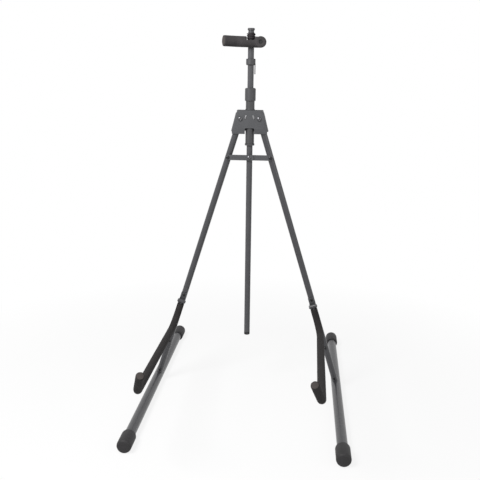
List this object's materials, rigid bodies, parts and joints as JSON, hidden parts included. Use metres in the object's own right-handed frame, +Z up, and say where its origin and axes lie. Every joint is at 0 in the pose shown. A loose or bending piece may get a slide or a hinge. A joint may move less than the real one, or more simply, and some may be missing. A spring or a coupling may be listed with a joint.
{
  "type": "double bass stand",
  "caption": "Folding A-frame stand that holds an upright double bass on padded arms, with a height-adjustable padded neck rest.",
  "frame": {"origin": "middle of the outline, on the floor", "axes": "+Z up, -Y towards the player's side where the arms reach, +X right as seen from there"},
  "size_m": [0.6252, 0.995, 1.1202],
  "materials": {
    "tube_paint": "semi-gloss dark grey paint",
    "plate_paint": "satin dark grey paint",
    "black_plastic": "moulded",
    "rubber": "matte",
    "foam": "closed-cell foam",
    "bolt_steel": "zinc plated",
    "black_screw": "black oxide",
    "cord": "wound cord"
  },
  "bodies": {
    "stand": {"guide_sleeve": "tube_paint", "lower_bush": "black_plastic", "clamp_collet": "black_plastic", "head_front_plate": "plate_paint", "head_back_plate": "plate_paint", "leg_pivot_bolt_left": "bolt_steel", "leg_pivot_bolt_right": "bolt_steel", "leg_pivot_nut_left": "bolt_steel", "leg_pivot_nut_right": "bolt_steel", "pivot_spacer_front_left": "black_plastic", "pivot_spacer_front_right": "black_plastic", "pivot_spacer_rear_left": "black_plastic", "pivot_spacer_rear_right": "black_plastic"},
    "clamp": {"clamp_collar": "black_plastic"},
    "mast": {"mast_tube": "tube_paint", "mast_end_plug": "rubber", "mast_spigot": "bolt_steel", "neck_clamp_collar": "black_plastic", "lever_pin": "bolt_steel"},
    "lever": {"clamp_lever": "black_plastic"},
    "neck": {"neck_post": "tube_paint", "post_knob": "black_plastic", "neck_rod": "tube_paint", "neck_foam": "foam", "neck_cord": "cord"},
    "leg_left": {"leg_tube_left": "tube_paint", "leg_plug_left": "bolt_steel", "middle_screw_left": "black_screw", "foot_screw_left": "black_screw", "foot_tube_left": "tube_paint", "foot_cap_front_left": "rubber", "foot_cap_rear_left": "rubber", "brace_bolt_left": "bolt_steel", "brace_spacer": "black_plastic", "arm_bracket_left": "plate_paint", "arm_screw_left": "black_screw", "arm_pin_left": "bolt_steel", "arm_pin_nut_left": "bolt_steel"},
    "leg_right": {"leg_tube_right": "tube_paint", "leg_plug_right": "bolt_steel", "middle_screw_right": "black_screw", "foot_screw_right": "black_screw", "foot_tube_right": "tube_paint", "foot_cap_front_right": "rubber", "foot_cap_rear_right": "rubber", "brace_bolt_right": "bolt_steel", "arm_bracket_right": "plate_paint", "arm_screw_right": "black_screw", "arm_pin_right": "bolt_steel", "arm_pin_nut_right": "bolt_steel"},
    "brace_left": {"brace_bar_left": "plate_paint", "brace_centre_rivet": "bolt_steel"},
    "brace_right": {"brace_bar_right": "plate_paint"},
    "arm_left": {"arm_rod_left": "tube_paint", "arm_foam_left": "foam"},
    "arm_right": {"arm_rod_right": "tube_paint", "arm_foam_right": "foam"}
  },
  "joints": [
    {"name": "mast_height", "type": "slide", "parent": "stand", "child": "mast", "axis": [0, 0, 1], "range_m": [-0.036, 0.4]},
    {"name": "clamp_twist", "type": "hinge", "parent": "stand", "child": "clamp", "pos_m": [0, 0.09754, 0.93], "axis": [0, 0, 1], "range_deg": [0, 120]},
    {"name": "lever_swing", "type": "hinge", "parent": "mast", "child": "lever", "pos_m": [0.0124, 0.09754, 1.0203], "axis": [0, -1, 0], "range_deg": [0, 90]},
    {"name": "neck_turn", "type": "hinge", "parent": "mast", "child": "neck", "pos_m": [0, 0.09754, 1.0258], "axis": [0, 0, 1], "range_deg": [-180, 180]},
    {"name": "leg_fold", "type": "hinge", "parent": "stand", "child": "leg_right", "pos_m": [0.028, 0.09754, 0.86347], "axis": [0, 1, 0], "range_deg": [0, 17.4]},
    {"name": "leg_fold_left", "type": "hinge", "parent": "stand", "child": "leg_left", "pos_m": [-0.028, 0.09754, 0.86347], "axis": [0, 1, 0], "range_deg": [-17.4, 0]},
    {"name": "brace_fold_right", "type": "hinge", "parent": "leg_right", "child": "brace_right", "pos_m": [0.06388, 0.09754, 0.74896], "axis": [0, 1, 0], "range_deg": [-81.5, 0]},
    {"name": "brace_fold_left", "type": "hinge", "parent": "leg_left", "child": "brace_left", "pos_m": [-0.06388, 0.09754, 0.74896], "axis": [0, 1, 0], "range_deg": [0, 81.5]},
    {"name": "arm_fold_right", "type": "hinge", "parent": "leg_right", "child": "arm_right", "pos_m": [0.20772, 0.07624, 0.28997], "axis": [-0.9542, 0, -0.299], "range_deg": [0, 80]},
    {"name": "arm_fold_left", "type": "hinge", "parent": "leg_left", "child": "arm_left", "pos_m": [-0.20772, 0.07624, 0.28997], "axis": [-0.9542, 0, 0.299], "range_deg": [0, 80]}
  ],
  "couplings": [
    {"joint": "leg_fold_left", "follows": "leg_fold", "ratio": -1},
    {"joint": "brace_fold_right", "follows": "leg_fold", "ratio": -4.6785},
    {"joint": "brace_fold_left", "follows": "leg_fold", "ratio": 4.6785}
  ]
}
